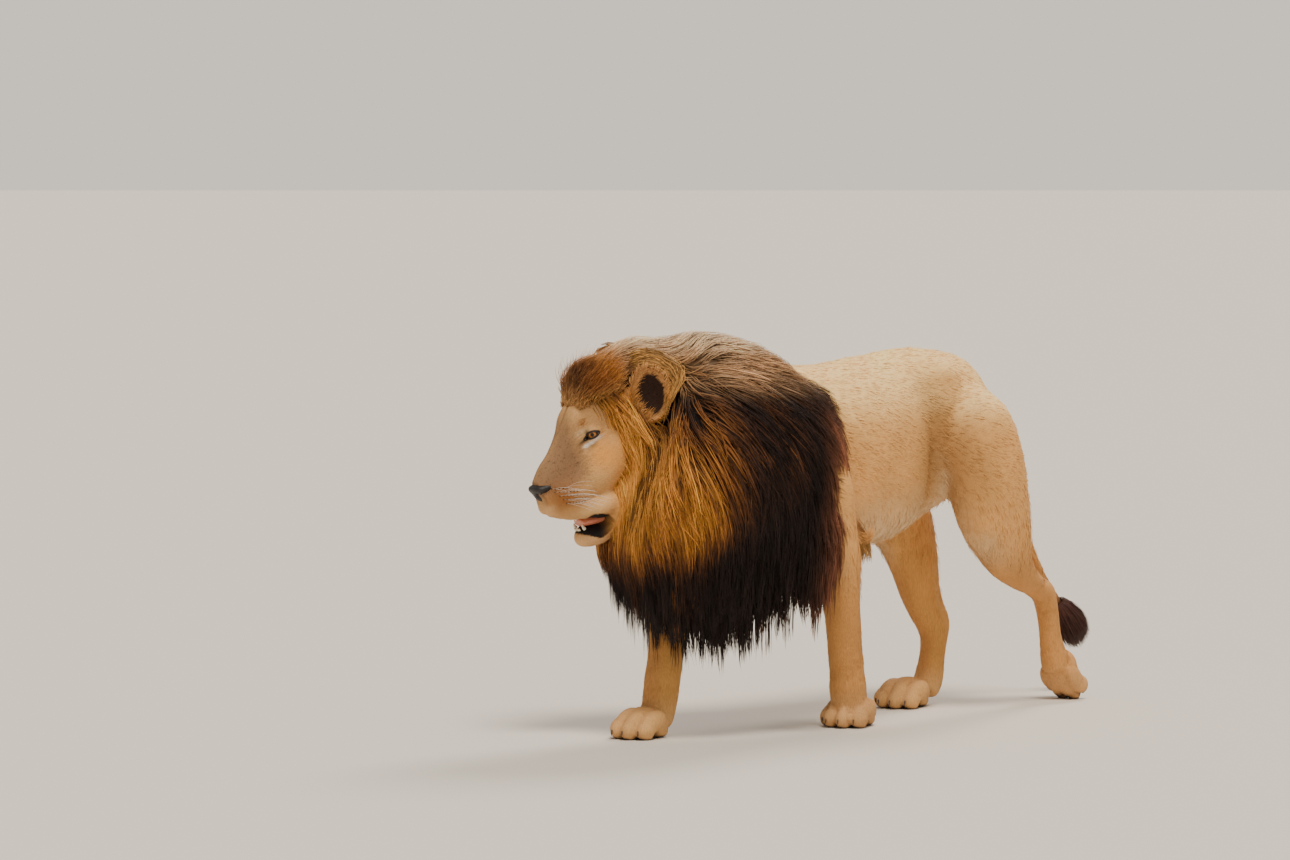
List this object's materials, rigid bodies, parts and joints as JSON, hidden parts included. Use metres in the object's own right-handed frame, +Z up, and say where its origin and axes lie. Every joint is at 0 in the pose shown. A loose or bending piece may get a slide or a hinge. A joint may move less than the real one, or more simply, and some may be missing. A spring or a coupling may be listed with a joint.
{
  "type": "lion",
  "caption": "Life-size still model of an adult male lion with a full dark mane, in a slow walk with the head turned to its right.",
  "frame": {"origin": "on the ground under the middle of the bounding box", "axes": "+X the way the lion walks, +Y towards its left side, +Z up"},
  "size_m": [1.9559, 0.5954, 1.0365],
  "materials": {
    "short_coat": "short tawny fur lying flat",
    "mane_gold": "long golden-brown hair",
    "mane_dark": "long black-brown hair",
    "nose_skin": "damp leathery skin",
    "mouth": "wet",
    "eye": "polished",
    "tooth": "glossy",
    "claw": "satin"
  },
  "bodies": {
    "root": {"trunk": "short_coat", "mane_ruff": "mane_gold", "mane_neck": "mane_dark", "mane_chest": "mane_dark", "head": "short_coat", "lower_jaw": "short_coat", "nose": "nose_skin", "tongue": "mouth", "eye_left": "eye", "eye_right": "eye", "ear_left": "short_coat", "ear_right": "short_coat", "forearm_left": "short_coat", "forepaw_left": "short_coat", "forearm_right": "short_coat", "forepaw_right": "short_coat", "thigh_left": "short_coat", "shank_left": "short_coat", "hindfoot_left": "short_coat", "hindpaw_left": "short_coat", "thigh_right": "short_coat", "shank_right": "short_coat", "hindfoot_right": "short_coat", "hindpaw_right": "short_coat", "tail_upper": "short_coat", "tail_lower": "short_coat", "tail_tuft": "mane_dark"}
  },
  "joints": []
}
